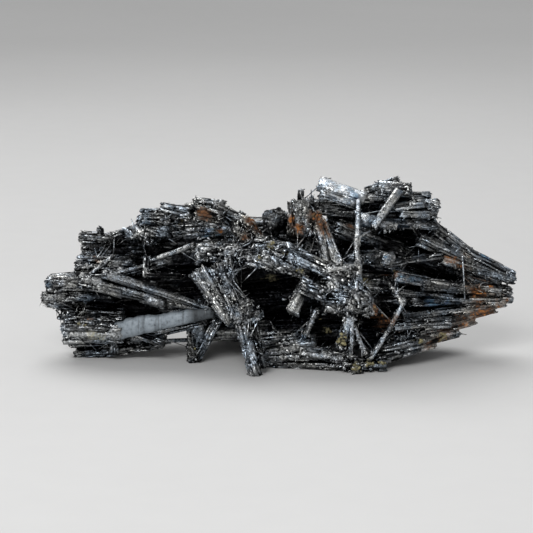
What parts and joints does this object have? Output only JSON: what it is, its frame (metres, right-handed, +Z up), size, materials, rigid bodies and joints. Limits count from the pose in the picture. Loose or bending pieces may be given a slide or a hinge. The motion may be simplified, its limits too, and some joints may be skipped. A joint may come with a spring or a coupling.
{
  "type": "stibnite crystal spray",
  "caption": "Loose natural spray of intergrown stibnite blades and needles, lead grey and metallic, resting on its lowest crystals.",
  "frame": {"origin": "on the surface it rests on, under the middle of its bounding box", "axes": "+X along the spray, towards the point where the long blades close; +Y to its back; +Z up"},
  "size_m": [0.1502, 0.0581, 0.0576],
  "materials": {
    "stibnite": "metallic lead-grey, striated, partly tarnished blue, with rust and ochre crusts"
  },
  "bodies": {
    "root": {"stibnite_spray": "stibnite"}
  },
  "joints": []
}
